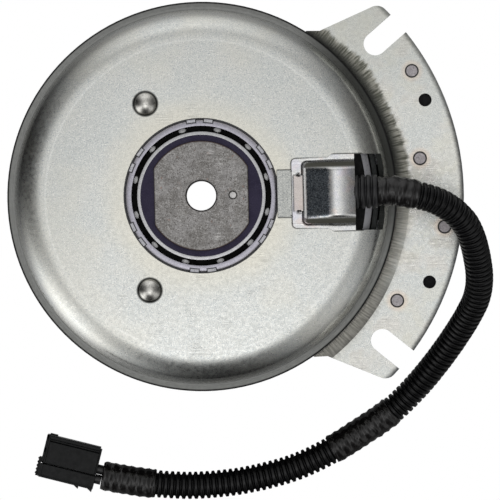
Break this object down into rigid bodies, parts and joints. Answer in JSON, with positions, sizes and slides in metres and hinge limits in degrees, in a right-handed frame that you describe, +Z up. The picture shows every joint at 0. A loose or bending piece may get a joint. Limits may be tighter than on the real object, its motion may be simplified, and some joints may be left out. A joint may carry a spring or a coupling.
{
  "type": "electromagnetic clutch",
  "caption": "Round electromagnetic power-take-off clutch with a keyed hub, a belt pulley, a slotted anti-rotation flange and a short sleeved cable ending in a connector.",
  "frame": {"origin": "centre of the shaft bore's mouth, on the lower face of the hub", "axes": "+Z up the shaft, from the pulley to the bolt end of the hub; +X to the middle of the anti-rotation flange and the cable's exit"},
  "size_m": [0.1862, 0.1927, 0.0852],
  "materials": {
    "zinc_plated_steel": "zinc plated, satin, fine mottled grain",
    "bright_zinc_steel": "bright zinc with a faint yellow and pink sheen",
    "mild_steel": "plain machined steel",
    "bobbin_plastic": "glass-filled nylon",
    "enamelled_copper": "enamelled winding wire",
    "potting_resin": "black potting compound",
    "nickel_rivet": "polished nickel",
    "ferrite": "sintered ferrite",
    "flush_rivet_steel": "turned steel",
    "bearing_steel": "ground bearing steel",
    "ball_steel": "polished",
    "cage_plastic": "moulded, greased",
    "sintered_steel": "sintered, oil soaked, speckled",
    "violet_washer": "dark violet conversion coating",
    "rotor_steel": "turned steel, phosphate dark",
    "friction_material": "moulded friction lining",
    "spring_steel": "blued spring steel",
    "pulley_paint": "black satin coating",
    "seal_rubber": "moulded nitrile",
    "wire_insulation": "extruded insulation",
    "sleeve_plastic": "corrugated split sleeve, semi-gloss",
    "black_tape": "wrapped vinyl tape",
    "grommet_rubber": "moulded rubber",
    "connector_plastic": "moulded, fine texture",
    "lead_jacket": "black lead insulation",
    "terminal_brass": "stamped, bright"
  },
  "bodies": {
    "housing": {"cup_housing": "zinc_plated_steel", "field_shell": "mild_steel", "coil_bobbin": "bobbin_plastic", "coil_winding": "enamelled_copper", "coil_potting": "potting_resin", "cup_rivets": "nickel_rivet", "brake_plate": "zinc_plated_steel", "brake_magnets": "ferrite", "brake_pole_shoes": "mild_steel", "brake_rivets": "flush_rivet_steel", "field_bearing_outer_ring": "bearing_steel", "cable_cover": "bright_zinc_steel", "cable_grommet": "grommet_rubber", "lead_wires": "wire_insulation", "cable_sleeve": "sleeve_plastic", "cover_end_tape": "black_tape", "middle_tape": "black_tape", "connector_end_tape": "black_tape", "connector_body": "connector_plastic", "connector_lock": "connector_plastic", "connector_terminals": "terminal_brass", "connector_leads": "lead_jacket"},
    "rotor": {"rotor_hub": "sintered_steel", "field_bearing_inner_ring": "bearing_steel", "hub_retaining_washer": "violet_washer", "rotor_disc": "rotor_steel", "friction_ring": "friction_material", "pulley_bearing_inner_ring": "bearing_steel", "hub_circlip": "spring_steel"},
    "field_ball_set": {"field_bearing_balls": "ball_steel", "field_bearing_cage": "cage_plastic"},
    "pulley": {"pulley_hub": "pulley_paint", "upper_sheave": "pulley_paint", "lower_sheave": "pulley_paint", "sheave_rivets": "flush_rivet_steel", "pulley_bearing_outer_ring": "bearing_steel", "upper_bearing_seal": "seal_rubber", "lower_bearing_seal": "seal_rubber", "bearing_circlip": "spring_steel", "leaf_springs": "spring_steel", "spring_rivets": "flush_rivet_steel"},
    "pulley_ball_set": {"pulley_bearing_balls": "ball_steel", "pulley_bearing_cages": "cage_plastic"},
    "armature": {"armature_plate": "rotor_steel", "armature_rivets": "flush_rivet_steel"}
  },
  "joints": [
    {"name": "rotor_spin", "type": "hinge", "parent": "housing", "child": "rotor", "pos_m": [0, 0, 0], "axis": [0, 0, 1], "continuous": true},
    {"name": "field_balls_orbit", "type": "hinge", "parent": "housing", "child": "field_ball_set", "pos_m": [0, 0, 0], "axis": [0, 0, 1], "continuous": true},
    {"name": "pulley_spin", "type": "hinge", "parent": "rotor", "child": "pulley", "pos_m": [0, 0, 0], "axis": [0, 0, 1], "continuous": true},
    {"name": "pulley_balls_orbit", "type": "hinge", "parent": "rotor", "child": "pulley_ball_set", "pos_m": [0, 0, 0], "axis": [0, 0, 1], "continuous": true},
    {"name": "armature_pull", "type": "slide", "parent": "pulley", "child": "armature", "axis": [0, 0, 1], "range_m": [0, 0.0005], "stiffness_N_per_m": 40000, "springref_m": -0.0002, "deforming": ["leaf_springs"]}
  ],
  "couplings": [
    {"joint": "field_balls_orbit", "follows": "rotor_spin", "ratio": 0.457},
    {"joint": "pulley_balls_orbit", "follows": "pulley_spin", "ratio": 0.567}
  ]
}
